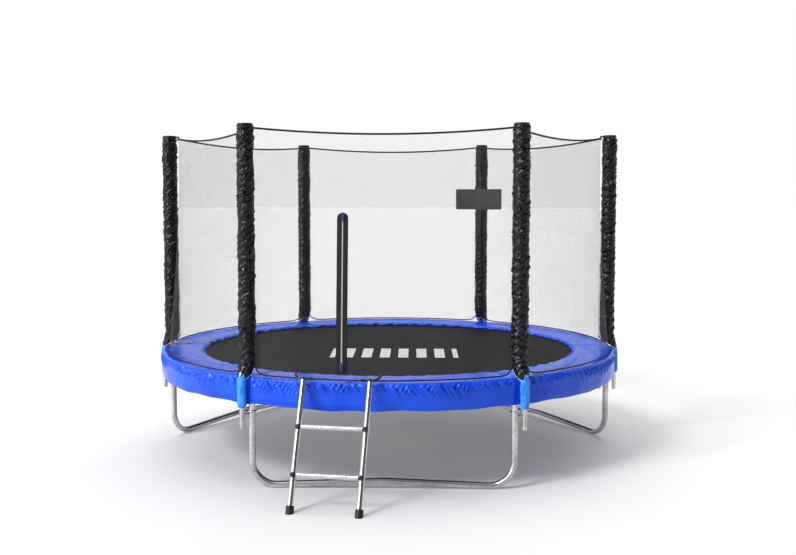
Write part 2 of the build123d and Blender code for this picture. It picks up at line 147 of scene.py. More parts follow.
def shell_parts(outer, inner, high, wide, wrap=False):
    """Points, faces and map of a closed skin: outer grid, inner grid turned round, and the rim."""
    rows, columns = outer.shape[:2]
    count = rows * columns
    faces = quads_of(rows, columns, 0, wrap)
    uv = grid_uv(rows, columns, high, wide, wrap)
    back = quads_of(rows, columns, count, wrap)[:, ::-1]
    number = np.arange(count).reshape(rows, columns)
    edges = [number[0][::-1], number[-1]]
    if wrap:
        edges = [np.append(edge, edge[0]) for edge in edges]
    else:
        edges += [number[:, 0], number[:, -1][::-1]]
    rims = [np.stack([e[1:], e[:-1], e[:-1] + count, e[1:] + count], -1)[:, ::-1] for e in edges]
    rim = np.concatenate(rims)
    thin = np.array([[0, 0], [0.004, 0], [0.004, 0.004], [0, 0.004]])
    uvs = np.concatenate([uv, uv[:, ::-1], np.broadcast_to(thin, (len(rim), 4, 2))])
    points = np.concatenate([outer.reshape(-1, 3), inner.reshape(-1, 3)])
    return points, np.concatenate([faces, back, rim]), uvs


def joined(parts):
    """Several (points, faces, map) sets as one, with the corner numbers moved up."""
    starts = np.cumsum([0] + [len(points) for points, _, _ in parts[:-1]])
    points = np.concatenate([part[0] for part in parts])
    faces = np.concatenate([part[1] + start for part, start in zip(parts, starts)])
    return points, faces, np.concatenate([part[2] for part in parts])


def shell_piece(name, outer, inner, high, wide, wrap=False):
    return mesh_piece(name, *shell_parts(outer, inner, high, wide, wrap))


def beside_leg(number, outwards, aside, z):
    """Points given by how far out they are along a leg's direction, and how far beside the leg."""
    angle = np.radians(leg_angles[number])
    outwards, aside, z = np.broadcast_arrays(outwards, aside, z)
    x = outwards * np.cos(angle) - aside * np.sin(angle)
    y = outwards * np.sin(angle) + aside * np.cos(angle)
    return np.stack([x, y, z], -1)


def ease(value, low, high):
    """0 below low, 1 above high, and a smooth climb 3 t^2 - 2 t^3 between them."""
    t = np.clip((value - low) / (high - low), 0, 1)
    return t * t * (3 - 2 * t)


def round_about(angles, radius, z):
    """Points at an angle in radians, a radius and a height, as whole arrays."""
    angles, radius, z = np.broadcast_arrays(angles, radius, z)
    return np.stack([radius * np.cos(angles), radius * np.sin(angles), z], -1)


# %% [markdown]
# Ropes, wire rings and coil springs are all a round section carried along a line. At each point of
# the line the section needs two directions square to the line. One is worked out from the line's
# own direction and a fixed helper direction, the other is square to both.


# %% A round section carried along a line
def tube_parts(line, radius, sides, helper=(0, 0, 1), closed=False):
    """Ring of points round each point of the line: middle + radius (side cos a + up sin a)."""
    ahead = np.gradient(line, axis=0)
    if closed:
        ahead = np.roll(line, -1, 0) - np.roll(line, 1, 0)
    ahead /= np.linalg.norm(ahead, axis=1, keepdims=True)
    side = np.cross(ahead, np.array(helper, float))
    side /= np.linalg.norm(side, axis=1, keepdims=True)
    up = np.cross(side, ahead)
    turn = np.linspace(0, 2 * np.pi, sides, endpoint=False)[None, :, None]
    wide = np.broadcast_to(np.asarray(radius, float), (len(line),))[:, None, None]
    ring = line[:, None] + wide * (side[:, None] * np.cos(turn) + up[:, None] * np.sin(turn))
    length = float(np.linalg.norm(np.diff(line, axis=0), axis=1).sum())
    if closed:
        ring = np.concatenate([ring, ring[:1]])
    else:
        ends = np.stack([ring[0] * 0 + line[0], ring[-1] * 0 + line[-1]])
        ring = np.concatenate([ends[:1], ring, ends[1:]])
    rows = len(ring)
    quads = quads_of(rows, sides, 0, True)
    uv = grid_uv(rows, sides, length, 2 * np.pi * float(np.mean(radius)), True)
    return ring.reshape(-1, 3), quads, uv


def merge_close(piece, distance=1e-5):
    """Joins corners that lie on each other, as at a rod's end, and faces everything outwards."""
    import bmesh

    work = bmesh.new()
    work.from_mesh(piece.data)
    bmesh.ops.remove_doubles(work, verts=work.verts, dist=distance)
    bmesh.ops.recalc_face_normals(work, faces=work.faces)
    work.to_mesh(piece.data)
    work.free()
    return piece


# %% [markdown]
# Thin film, coated cloth and net never lie smooth. Their folds look random, but each is a long ridge
# with a sharp top, and ridges cross at a few angles. Adding up some folded waves with fixed
# random directions gives that, and the same seed gives the same folds every time.


# %% Folds of film and cloth
def folds(across, up, seed, sizes, lean=0.9, sharpness=1.6):
    """Sum over waves of (1 - |sin phase|) ** sharpness, each weighed by its size, from 0 to about 1."""
    dice = np.random.default_rng(seed)
    total = np.zeros(np.broadcast(across, up).shape)
    for size in sizes:
        angle = dice.uniform(-lean, lean)
        phase = dice.uniform(0, np.pi)
        drift = 0.6 * np.sin(up * dice.uniform(2, 5) / size * 0.2 + dice.uniform(0, 6))
        wave = np.sin((up * np.cos(angle) + across * np.sin(angle)) * np.pi / size + phase + drift)
        patch = 0.5 + 0.5 * np.sin(across * 1.7 / size + up * 0.9 / size + dice.uniform(0, 6))
        total += size * patch * (1 - np.abs(wave)) ** sharpness
    return total / sum(sizes)


# %% [markdown]
# Materials share a few effects, and each effect is a node group with its own inputs. A weave is two
# crossing waves: threads stand highest where both peak. Cloudy unevenness is plain noise
# drawn towards two ends, so that colour and gloss are never the same all over.


# %% Building node groups and materials
def new_group(name, inputs, outputs):
    """An empty shader group with the named inputs and outputs, and its two end nodes."""
    group = bpy.data.node_groups.new(name, "ShaderNodeTree")
    for label, kind, value in inputs:
        socket = group.interface.new_socket(label, in_out="INPUT", socket_type=kind)
        if kind == "NodeSocketFloat":
            socket.default_value = value
    for label, kind in outputs:
        group.interface.new_socket(label, in_out="OUTPUT", socket_type=kind)
    return group, group.nodes.new("NodeGroupInput"), group.nodes.new("NodeGroupOutput")


def math_node(tree, kind, first, second=None, third=None, clamp=False):
    """One maths node; each operand is a number or another node's output."""
    node = tree.nodes.new("ShaderNodeMath")
    node.operation = kind
    node.use_clamp = clamp
    for socket, value in zip(node.inputs, (first, second, third)):
        if value is None:
            continue
        if isinstance(value, (int, float)):
            socket.default_value = value
        else:
            tree.links.new(value, socket)
    return node.outputs[0]


def make_weave():
    """Height = half + half sin(2 pi u / pitch) sin(2 pi v / pitch): a plain over-and-under weave."""
    tree, into, out = new_group(
        "weave",
        [("Vector", "NodeSocketVector", None), ("Pitch", "NodeSocketFloat", 0.002)],
        [("Height", "NodeSocketFloat")],
    )
    split = tree.nodes.new("ShaderNodeSeparateXYZ")
    tree.links.new(into.outputs["Vector"], split.inputs[0])
    rate = math_node(tree, "DIVIDE", 2 * np.pi, into.outputs["Pitch"])
    u = math_node(tree, "SINE", math_node(tree, "MULTIPLY", split.outputs[0], rate))
    v = math_node(tree, "SINE", math_node(tree, "MULTIPLY", split.outputs[1], rate))
    both = math_node(tree, "MULTIPLY", u, v)
    tree.links.new(math_node(tree, "MULTIPLY_ADD", both, 0.5, 0.5), out.inputs[0])
    return tree


def make_clouds():
    """Soft noise stretched to run from 0 to 1: (noise - 0.3) / 0.4, held within those ends."""
    tree, into, out = new_group(
        "clouds",
        [
            ("Vector", "NodeSocketVector", None),
            ("Scale", "NodeSocketFloat", 10.0),
            ("Detail", "NodeSocketFloat", 4.0),
        ],
        [("Value", "NodeSocketFloat")],
    )
    noise = tree.nodes.new("ShaderNodeTexNoise")
    for label in ("Vector", "Scale", "Detail"):
        tree.links.new(into.outputs[label], noise.inputs[label])
    low = math_node(tree, "SUBTRACT", noise.outputs[0], 0.3)
    tree.links.new(math_node(tree, "DIVIDE", low, 0.4, clamp=True), out.inputs[0])
    return tree


weave_group = make_weave()
clouds_group = make_clouds()


class Paint:
    """A material with its Principled shader at hand, and short ways to wire patterns into it."""

    def __init__(self, name, color, roughness, metallic=0.0, **extra):
        self.material = bpy.data.materials.new(name)
        self.material.use_nodes = True
        self.tree = self.material.node_tree
        self.shader = self.tree.nodes["Principled BSDF"]
        self.place = self.tree.nodes.new("ShaderNodeTexCoord")
        self.shader.inputs["Base Color"].default_value = (*color, 1)
        self.shader.inputs["Roughness"].default_value = roughness
        self.shader.inputs["Metallic"].default_value = metallic
        for label, value in extra.items():
            self.shader.inputs[label.replace("_", " ")].default_value = value

    def where(self, by_map=False):
        return self.place.outputs["UV" if by_map else "Object"]

    def clouds(self, scale, detail=4.0, by_map=False, stretch=None):
        node = self.tree.nodes.new("ShaderNodeGroup")
        node.node_tree = clouds_group
        node.inputs["Scale"].default_value = scale
        node.inputs["Detail"].default_value = detail
        source = self.where(by_map)
        if stretch is not None:
            mapping = self.tree.nodes.new("ShaderNodeMapping")
            mapping.inputs["Scale"].default_value = stretch
            self.tree.links.new(source, mapping.inputs[0])
            source = mapping.outputs[0]
        self.tree.links.new(source, node.inputs["Vector"])
        return node.outputs[0]

    def weave(self, pitch, by_map=True):
        node = self.tree.nodes.new("ShaderNodeGroup")
        node.node_tree = weave_group
        node.inputs["Pitch"].default_value = pitch
        self.tree.links.new(self.where(by_map), node.inputs["Vector"])
        return node.outputs[0]

    def blend_color(self, mask, first, second):
        """Colour that runs from first to second as the mask goes from 0 to 1."""
        node = self.tree.nodes.new("ShaderNodeMix")
        node.data_type = "RGBA"
        for socket, color in ((node.inputs[6], first), (node.inputs[7], second)):
            if isinstance(color, tuple):
                socket.default_value = (*color, 1)
            else:
                self.tree.links.new(color, socket)
        self.tree.links.new(mask, node.inputs[0])
        return node.outputs[2]

    def color(self, socket):
        self.tree.links.new(socket, self.shader.inputs["Base Color"])
        return self

    def rough(self, mask, low, high):
        """Roughness that runs from low to high as the mask goes from 0 to 1."""
        ranged = math_node(self.tree, "MULTIPLY_ADD", mask, high - low, low)
        self.tree.links.new(ranged, self.shader.inputs["Roughness"])
        return self

    def bump(self, height, distance, strength=1.0):
        """Adds fine relief of that depth in metres, over any relief already there."""
        node = self.tree.nodes.new("ShaderNodeBump")
        node.inputs["Distance"].default_value = distance
        node.inputs["Strength"].default_value = strength
        self.tree.links.new(height, node.inputs["Height"])
        before = self.shader.inputs["Normal"].links
        if before:
            self.tree.links.new(before[0].from_socket, node.inputs["Normal"])
        self.tree.links.new(node.outputs[0], self.shader.inputs["Normal"])
        return self


# %% [markdown]
# Galvanised tube is steel dipped in zinc. It is a soft grey with faint crystals called spangle, and
# it shines unevenly. Cell noise gives the crystals, each a little lighter or darker.
# The ladder's tube is brighter and drawn smooth, so its grain runs up the rails.


# %% Metal finishes
def galvanised(name, dark, light, rough_low, rough_high):
    paint = Paint(name, light, rough_low, 1.0)
    cells = paint.tree.nodes.new("ShaderNodeTexVoronoi")
    cells.inputs["Scale"].default_value = 140
    paint.tree.links.new(paint.where(), cells.inputs["Vector"])
    patch = paint.tree.nodes.new("ShaderNodeSeparateColor")
    paint.tree.links.new(cells.outputs["Color"], patch.inputs[0])
    mixed = math_node(paint.tree, "MULTIPLY", patch.outputs[0], 0.45)
    cloudy = math_node(paint.tree, "MULTIPLY_ADD", paint.clouds(9), 0.55, mixed)
    paint.color(paint.blend_color(cloudy, dark, light))
    paint.rough(cloudy, rough_high, rough_low)
    paint.bump(paint.clouds(260, 2), 0.00015, 0.6)
    return paint.material


tube_metal = galvanised("galvanised_tube", (0.40, 0.41, 0.41), (0.74, 0.75, 0.74), 0.24, 0.42)
bolt_metal = galvanised("zinc_bolts", (0.5, 0.5, 0.5), (0.8, 0.8, 0.8), 0.2, 0.35)


def drawn_silver():
    paint = Paint("ladder_silver", (0.85, 0.85, 0.84), 0.25, 1.0)
    grain = paint.clouds(60, 3, stretch=(6, 6, 0.4))
    paint.color(paint.blend_color(grain, (0.62, 0.62, 0.61), (0.84, 0.84, 0.83)))
    paint.rough(grain, 0.2, 0.34)
    paint.bump(grain, 0.0001, 0.4)
    return paint.material


ladder_metal = drawn_silver()


# %% [markdown]
# Rubber and moulded plastic are nearly black, but never an even black: dust lightens them in
# patches, and a moulded skin has a fine grain. The zip's sliders are lacquered dark metal.


# %% Rubber, plastic and lacquer
def moulded(name, color, dusty, rough_low, rough_high, grain):
    paint = Paint(name, color, rough_low)
    dust = paint.clouds(14, 6)
    paint.color(paint.blend_color(dust, color, dusty))
    paint.rough(dust, rough_low, rough_high)
    paint.bump(paint.clouds(grain, 2), 0.0002, 0.5)
    return paint.material


black_plastic = moulded("black_plastic", (0.006, 0.006, 0.007), (0.018, 0.018, 0.02), 0.3, 0.45, 700)
black_rubber = moulded("black_rubber", (0.008, 0.008, 0.008), (0.03, 0.03, 0.03), 0.42, 0.62, 900)
coated_hook = moulded("coated_hook", (0.008, 0.008, 0.009), (0.02, 0.02, 0.02), 0.16, 0.3, 300)
slider_lacquer = moulded("slider_lacquer", (0.03, 0.035, 0.16), (0.07, 0.08, 0.26), 0.15, 0.3, 500)

# %% [markdown]
# The padding's cover is thick blue vinyl: a strong colour with a soft gloss, and a fine leather
# grain pressed into it. The straps over the pole feet are a lighter, azure coated cloth.
# The sleeves' black film is thinner and shinier, and crackles into tiny creases.


# %% Vinyl, coated cloth and film
def vinyl():
    paint = Paint("blue_vinyl", (0.0, 0.05, 0.6), 0.3)
    paint.shader.inputs["Specular IOR Level"].default_value = 0.4
    tone = paint.clouds(5, 3)
    paint.color(paint.blend_color(tone, (0.006, 0.066, 0.58), (0.010, 0.110, 0.76)))
    paint.rough(tone, 0.2, 0.28)
    paint.bump(paint.clouds(420, 3), 0.0003, 0.35)
    return paint.material


def azure():
    paint = Paint("azure_cloth", (0.02, 0.28, 0.95), 0.45, Sheen_Weight=0.15)
    threads = paint.weave(0.0016)
    tone = paint.clouds(30, 3)
    paint.color(paint.blend_color(tone, (0.012, 0.20, 0.80), (0.05, 0.36, 1.0)))
    paint.rough(tone, 0.38, 0.55)
    paint.bump(threads, 0.0003, 0.5)
    return paint.material


def film():
    paint = Paint("sleeve_film", (0.006, 0.006, 0.007), 0.2)
    paint.shader.inputs["Specular IOR Level"].default_value = 0.45
    tone = paint.clouds(24, 5)
    black = paint.blend_color(tone, (0.002, 0.002, 0.003), (0.008, 0.008, 0.010))
    # Painted highlight: the lowest 4.5 mm of the map, and the rims, are painted pale grey to stand in for
    # light along the cut foot edge.
    split = paint.tree.nodes.new("ShaderNodeSeparateXYZ")
    paint.tree.links.new(paint.where(True), split.inputs[0])
    foot_highlight = math_node(paint.tree, "LESS_THAN", split.outputs[1], 0.0045)
    paint.color(paint.blend_color(foot_highlight, black, (0.75, 0.75, 0.76)))
    paint.rough(tone, 0.11, 0.2)
    facets = paint.tree.nodes.new("ShaderNodeTexVoronoi")
    facets.inputs["Scale"].default_value = 38
    paint.tree.links.new(paint.where(True), facets.inputs["Vector"])
    paint.bump(facets.outputs["Distance"], 0.004, 0.5)
    paint.bump(paint.clouds(90, 5, stretch=(1, 1, 0.5)), 0.004, 0.3)
    return paint.material


blue_vinyl = vinyl()
azure_cloth = azure()
sleeve_film = film()


# %% [markdown]
# Net, rope, tape and mat are all woven, each at its own scale. The net is so open that light goes
# through most of it: its threads are opaque and the holes between them are left out through Alpha.
# Its two sets of threads cross on a slant, so the map is turned an eighth of a turn. A round thread
# looks as wide from any side while the hole beside it narrows, so a net seen aslant looks denser:
# the thread's share is divided by how squarely the net is seen.


# %% Woven finishes
def cloth(name, dark, light, pitch, rough_low, rough_high, depth=0.0004):
    paint = Paint(name, light, rough_high)
    threads = paint.weave(pitch)
    paint.color(paint.blend_color(threads, dark, light))
    paint.rough(threads, rough_high, rough_low)
    paint.bump(threads, depth, 0.7)
    return paint.material


def open_net():
    paint = Paint("open_net", (0.05, 0.05, 0.05), 0.5)
    tree = paint.tree
    turn = tree.nodes.new("ShaderNodeMapping")
    turn.inputs["Rotation"].default_value = (0, 0, np.pi / 4)
    turn.inputs["Scale"].default_value = (np.pi / NET_PITCH,) * 3
    tree.links.new(paint.where(True), turn.inputs[0])
    split = tree.nodes.new("ShaderNodeSeparateXYZ")
    tree.links.new(turn.outputs[0], split.inputs[0])
    waves = [math_node(tree, "SINE", split.outputs[axis]) for axis in (0, 1)]
    near = [math_node(tree, "ABSOLUTE", wave) for wave in waves]
    nearest = math_node(tree, "MINIMUM", *near)
    glance = tree.nodes.new("ShaderNodeLayerWeight")
    glance.inputs["Blend"].default_value = 0.5
    square_on = math_node(tree, "SUBTRACT", 1.35, glance.outputs["Facing"])
    thread = math_node(tree, "DIVIDE", NET_THREAD, square_on)
    inside = math_node(tree, "SUBTRACT", thread, nearest)
    alpha = math_node(tree, "MULTIPLY_ADD", inside, 12.0, 0.5, clamp=True)
    tree.links.new(alpha, paint.shader.inputs["Alpha"])
    tone = paint.clouds(3, 3)
    paint.color(paint.blend_color(tone, (0.03, 0.03, 0.032), (0.08, 0.08, 0.082)))
    return paint.material


NET_PITCH = 0.006
NET_THREAD = 0.115
net_mesh = open_net()
black_rope = cloth("black_rope", (0.003, 0.003, 0.003), (0.015, 0.015, 0.016), 0.005, 0.5, 0.7, 0.001)
black_tape = cloth("black_tape", (0.003, 0.003, 0.003), (0.012, 0.012, 0.013), 0.0016, 0.45, 0.65)


def jumping_mat():
    """Dark weave with a plain printed set of bars in the middle."""
    paint = Paint("mat_weave", (0.03, 0.03, 0.033), 0.6)
    paint.shader.inputs["Specular IOR Level"].default_value = 0.06
    tree = paint.tree
    threads = paint.weave(0.0035)
    tone = paint.clouds(2.2, 5)
    woven = paint.blend_color(threads, (0.008, 0.008, 0.009), (0.020, 0.019, 0.021))
    worn = paint.blend_color(tone, woven, (0.024, 0.023, 0.025))
    split = tree.nodes.new("ShaderNodeSeparateXYZ")
    tree.links.new(paint.where(), split.inputs[0])
    x = math_node(tree, "SUBTRACT", split.outputs[0], MARK_X)
    y = math_node(tree, "SUBTRACT", split.outputs[1], MARK_Y)
    bar = math_node(tree, "PINGPONG", math_node(tree, "ADD", x, MARK_STEP * 20), MARK_STEP / 2)
    in_bar = math_node(tree, "GREATER_THAN", bar, MARK_STEP * 0.22)
    in_x = math_node(tree, "LESS_THAN", math_node(tree, "ABSOLUTE", x), MARK_STEP * 3.5)
    in_y = math_node(tree, "LESS_THAN", math_node(tree, "ABSOLUTE", y), MARK_HIGH / 2)
    inside = math_node(tree, "MULTIPLY", math_node(tree, "MULTIPLY", in_bar, in_x), in_y)
    faded = math_node(tree, "MULTIPLY", inside, math_node(tree, "MULTIPLY_ADD", threads, 0.35, 0.6))
    paint.color(paint.blend_color(faded, worn, (0.80, 0.80, 0.80)))
    paint.rough(threads, 0.68, 0.5)
    paint.bump(threads, 0.0006, 0.8)
    return paint.material


MARK_X = 0.045
MARK_Y = -0.235
MARK_STEP = 0.12
MARK_HIGH = 0.40
mat_weave = jumping_mat()
print("materials", len(bpy.data.materials))


# %% [markdown]
# The padding is six lengths of foam in a vinyl cover. Each lies over the springs, rolls over the
# rail and hangs down outside it as a skirt. The cover is gathered where the top meets the skirt,
# so short creases fan down from that edge and die out lower down. The inner edge is held
# only here and there and waves a little over the mat. A profile line carried round the ring gives
# the shape, and folds are added along its outward direction.


# %% Padding profile and surface
def pad_grid(first, last, seed):
    """Outer and inner skins of one pad: a profile (radius, height) swept from first to last degrees."""
    along = np.linspace(np.radians(first), np.radians(last), 345)[:, None]
    arc = along * PAD_OUT_R
    top = np.linspace(0, 1, 34)
    bend = np.linspace(0, np.pi / 2, 8)[1:]
    drop = np.linspace(0, 1, 34)[1:]
    top_r = PAD_IN_R + (PAD_OUT_R - 0.014 - PAD_IN_R) * top
    crown = np.sqrt(np.clip(1 - (1 - np.clip(top * 4.2, 0, 1)) ** 2, 0, 1))
    top_z = BED_Z + 0.012 + (PAD_TOP_Z - BED_Z - 0.0125) * crown
    bend_r = PAD_OUT_R - 0.014 + 0.012 * np.sin(bend)
    bend_z = PAD_TOP_Z - 0.0135 + 0.013 * np.cos(bend)
    skirt_z = bend_z[-1] + (SKIRT_LOW_Z + 0.001 - bend_z[-1]) * drop
    skirt_r = np.full(drop.shape, PAD_OUT_R - 0.002)
    radius = np.concatenate([top_r, bend_r, skirt_r])[None, :]
    height = np.concatenate([top_z, bend_z, skirt_z])[None, :]
    on_top = np.concatenate([top, np.ones(40)])[None, :]
    on_skirt = np.concatenate([np.zeros(34), np.linspace(0.005, 0.03, 7), 0.03 + 0.97 * drop])[None, :]
    tops = on_skirt == 0
    end = np.minimum(along - along[0], along[-1] - along) * PAD_OUT_R
    seam = np.exp(-((end / 0.022) ** 2))
    pucker = folds(height, arc, seed, [0.016, 0.024, 0.036, 0.05], 0.8, 1.7)
    hang = folds(height * 0.4, arc, seed + 1, [0.16, 0.23, 0.31], 0.25, 1.0)
    reach = 0.33 + 0.16 * np.sin(arc * 7 + seed) + 0.09 * np.sin(arc * 19 + 2 * seed)
    fan = ease(on_skirt, 0.0, 0.06) * (1 - ease(on_skirt, 0.12, reach + 0.2))
    swell = 0.016 * np.tanh(5.5 * pucker) * fan + 0.012 * hang * ease(on_skirt, 0.2, 1)
    swell = swell + 0.007 * ease(on_skirt, 0.0, 0.3) * (1 - ease(on_skirt, 0.75, 1.0))
    radius = radius + swell * (1 - seam)
    dents = folds(radius * 2.0, arc, seed + 2, [0.09, 0.13, 0.05], 1.3, 1.4)
    ribs = folds(radius * 0.7, arc, seed + 3, [0.03, 0.045], 0.4, 1.2)
    rise = 0.010 * (dents - 0.3) + 0.006 * (ribs - 0.2) * ease(on_top, 0.5, 0.95)
    height = height + (rise * ease(on_top, 0.05, 0.3) - 0.006 * seam) * tops
    inner = (1 - ease(on_top, 0.0, 0.16)) * tops
    radius = radius + (0.007 * np.sin(arc * 37 + seed) + 0.006 * np.sin(arc * 83 + 2 * seed)) * inner
    height = height + 0.004 * np.sin(arc * 47 + 3 * seed) * inner * (on_top < 0.12)
    low = np.sin(arc * 9 + seed) * 0.003 + np.sin(arc * 23 + seed) * 0.002
    height = height + low * ease(on_skirt, 0.5, 1.0)
    outer = round_about(along + 0 * radius, radius, height)
    under_r = np.where(tops, radius, np.minimum(radius, PAD_OUT_R - 0.0045))
    under_z = np.where(tops, BED_Z + 0.0142 - 0.006 * inner, height)
    under_z = np.where((on_skirt > 0) & (on_skirt <= 0.03), PAD_TOP_Z - 0.015, under_z)
    return outer, round_about(along + 0 * radius, under_r, under_z)


for number, start in enumerate(leg_angles, start=1):
    pad_outer, pad_inner = pad_grid(start + 0.05, start + 59.95, 10 * number)
    pad = shell_piece(f"padding_{number}", pad_outer[:, ::-1], pad_inner[:, ::-1], 1.56, 0.42)
    pad.data.materials.append(blue_vinyl)
    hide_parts(f"edge_pad_{number}")
    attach(pad, "frame")
print("one pad has", len(pad.data.polygons), "faces")

# %% [markdown]
# Each net pole wears a foam tube in black film. The film is twisted and pulled on, so creases run
# round it on a slant both ways, and a lap seam runs down its outer side, where the creases do not
# meet. At the bottom it is drawn in and its cut edge slants down over the pad's outer edge. A sleeve
# is a circle carried up the pole, with its radius changed by the folds.


# %% Foam sleeves
SLEEVE_FOOT_Z = 0.652
SLEEVE_SLANT = 0.030  # how far the cut edge hangs lower on the outer side, and higher on the inner


def sleeve_skins(number):
    """Radius by turn and height: foam radius less its creases, drawn in towards the cut foot."""
    seed = 30 + number
    side = pole_side[number] * POLE_ASIDE
    turn = np.linspace(0, 2 * np.pi, 76, endpoint=False)[None, :]
    share = np.linspace(0, 1, 300)[:, None]
    foot = SLEEVE_FOOT_Z - SLEEVE_SLANT * np.cos(turn)
    z = foot + (CAP_LOW_Z - 0.0015 - foot) * share
    round_it = turn * SLEEVE_R
    long_folds = folds(round_it, z, seed, [0.06, 0.09, 0.13], 1.0, 2.0)
    creases = folds(round_it * 1.3, z, seed + 5, [0.02, 0.028, 0.04, 0.055], 1.1, 3.2)
    crossing = folds(round_it * 1.3, -z, seed + 9, [0.018, 0.026, 0.036], 0.95, 3.6)
    radius = SLEEVE_R - 0.0042 + 0.003 * long_folds + 0.019 * creases + 0.017 * crossing
    rise = z - foot
    drawn = ease(rise, -0.010, 0.085)
    pleats = 0.0018 * np.cos(turn * 11 + seed) * (1 - drawn)
    radius = radius - (radius - 0.0405) * (1 - drawn) + pleats
    radius = radius * (1 - 0.07 * ease(z, CAP_LOW_Z - 0.05, CAP_LOW_Z))
    outwards = POLE_R + 0.025 * (1 - ease(z, 0.64, 0.74))
    outer = beside_leg(number, outwards + radius * np.cos(turn), side + radius * np.sin(turn), z)
    hole = POLE_TUBE_R + 0.0008
    inner = beside_leg(number, outwards + hole * np.cos(turn), side + hole * np.sin(turn), z)
    return outer, inner


for number in range(6):
    sleeve = shell_piece(f"sleeve_{number + 1}", *sleeve_skins(number), 1.39, 0.29, wrap=True)
    sleeve.data.materials.append(sleeve_film)
    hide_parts(f"foam_sleeve_{number + 1}")
    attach(sleeve, "frame")
print("one sleeve has", len(sleeve.data.polygons), "faces")

# %% [markdown]
# Below each sleeve an azure cloth boot covers the pole's foot and hangs outside the skirt. It is an
# oval tube of cloth, wider along the skirt than it is deep, rounded in at the bottom, with soft
# creases. Its top is tucked up under the foot of the sleeve.


# %% Pole boots
BOOT_LOW_Z = 0.468
BOOT_HIGH = 0.194
BOOT_ROUND = 0.165


def boot_skins(number):
    """An oval cloth tube: wide along the skirt, full in the middle and rounded in at the foot."""
    turn = np.linspace(0, 2 * np.pi, 64, endpoint=False)[None, :]
    share = np.linspace(0, 1, 90)[:, None]
    z = BOOT_LOW_Z + BOOT_HIGH * share
    round_in = np.sqrt(np.clip(1 - (1 - np.clip(share * 6, 0, 1)) ** 2, 0, 1))
    creases = folds(turn * 0.03, z, 70 + number, [0.03, 0.05, 0.08], 1.2, 1.4)
    fine = folds(turn * 0.03, z, 80 + number, [0.011, 0.016], 1.2, 1.4)
    wide = 0.016 + (0.0135 - 0.002 * share) * round_in + 0.010 * (creases - 0.2) + 0.003 * fine
    deep = 0.015 + (0.006 - 0.001 * share) * round_in + 0.006 * (creases - 0.2) + 0.003 * fine
    deep = np.maximum(deep, 0.0146)
    wide = np.maximum(wide, 0.0150)
    middle = POLE_FOOT_R + 0.001 - 0.009 * ease(z, 0.61, 0.66)
    side = pole_side[number] * POLE_ASIDE
    skins = []
    for thin in (0.0, 0.0008):
        outwards = middle + (deep - thin) * np.cos(turn)
        aside = side + (wide - thin) * np.sin(turn)
        skins.append(beside_leg(number, outwards, aside, z))
    return skins


for number in range(6):
    boot = shell_piece(f"boot_{number + 1}", *boot_skins(number), BOOT_HIGH, BOOT_ROUND, wrap=True)
    boot.data.materials.append(azure_cloth)
    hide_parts("pole_boots")
    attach(boot, "frame")

# %% [markdown]
# The net's top edge hangs from a rope that sags a little between two poles. Its bottom edge follows
# the padding's rim and climbs to each pole. Every net thread runs from one to the other, so a panel
# is a ruled surface: straight lines from the rope's curve down to the hem's curve. Shallow
# waves that are strongest in the middle keep it from looking like glass.


# %% Rope line, hem line and net panels
def corner_pair(number):
    first = net_corners[number]
    last = net_corners[(number + 1) % 6]
    return first, last + (360 if last < first else 0)


def rope_line(number, count, gap=0.0):
    """Straight from corner to corner, lowered by sag * (1 - (2 t - 1) ** 2)."""
    first, last = np.radians(corner_pair(number))
    ends = round_about(np.array([first + gap, last - gap]), CORNER_R, NET_TOP_Z)
    t = np.linspace(0, 1, count)[:, None]
    line = ends[0] + (ends[1] - ends[0]) * t
    line[:, 2] -= NET_SAG * (1 - (2 * t[:, 0] - 1) ** 2)
    return line


def hem_line(number, count, out=0.0, gap=0.0):
    """Round the rim, and at both ends up and in by exp(-(distance to the pole / reach) ** 1.6)."""
    first, last = np.radians(corner_pair(number))
    t = np.linspace(0, 1, count)
    angle = first + gap + (last - first - 2 * gap) * t
    near = np.minimum(angle - first, last - angle) * NET_R
    lift = np.exp(-((near / 0.055) ** 1.6))
    return round_about(angle, NET_R + out - (NET_R - CORNER_R) * lift, NET_LOW_Z + NET_LIFT * lift)


def net_grid(number):
    gap = np.radians(0.3)
    t = np.linspace(0, 1, 61)[:, None, None]
    top = rope_line(number, 97, gap)[None]
    foot = hem_line(number, 97, 0.0, gap)[None]
    grid = foot + (top - foot) * t
    across = np.linspace(0, 1.5, 97)[None, :]
    up = np.linspace(0, 1.39, 61)[:, None]
    ripple = folds(across, up, 90 + number, [0.35, 0.5, 0.22], 1.4, 1.0) - 0.45
    hold = np.sin(np.pi * up / 1.39) * np.sin(np.pi * across / 1.5)
    shift = 0.016 * ripple * hold
    out = grid * np.array([1, 1, 0])
    out /= np.linalg.norm(out, axis=-1, keepdims=True)
    return grid - out * np.abs(shift)[..., None]


def skin_area(grid):
    """Area of a grid's surface: half the cross product of each cell's two diagonals."""
    diagonals = grid[1:, 1:] - grid[:-1, :-1], grid[1:, :-1] - grid[:-1, 1:]
    return float(np.linalg.norm(np.cross(*diagonals), axis=-1).sum() / 2)


for number in range(6):
    grid = net_grid(number)
    panel = sheet_piece(f"net_{number + 1}", grid, 1.39, 1.5)
    panel.data.materials.append(net_mesh)
    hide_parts(f"net_panel_{number + 1}")
    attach(panel, "frame")
    print("net panel", number + 1, "area", round(skin_area(grid), 3), "m2")

# %% [markdown]
# The rope along the top is braided and as thick as a finger, and a thinner cord is sewn into the
# hem. Both are carried round the whole net as one closed line.


# %% Top rope and hem cord
def closed_line(make, count, **extra):
    """The six stretches end to end, without repeating the corners."""
    return np.concatenate([make(number, count, **extra)[:-1] for number in range(6)])


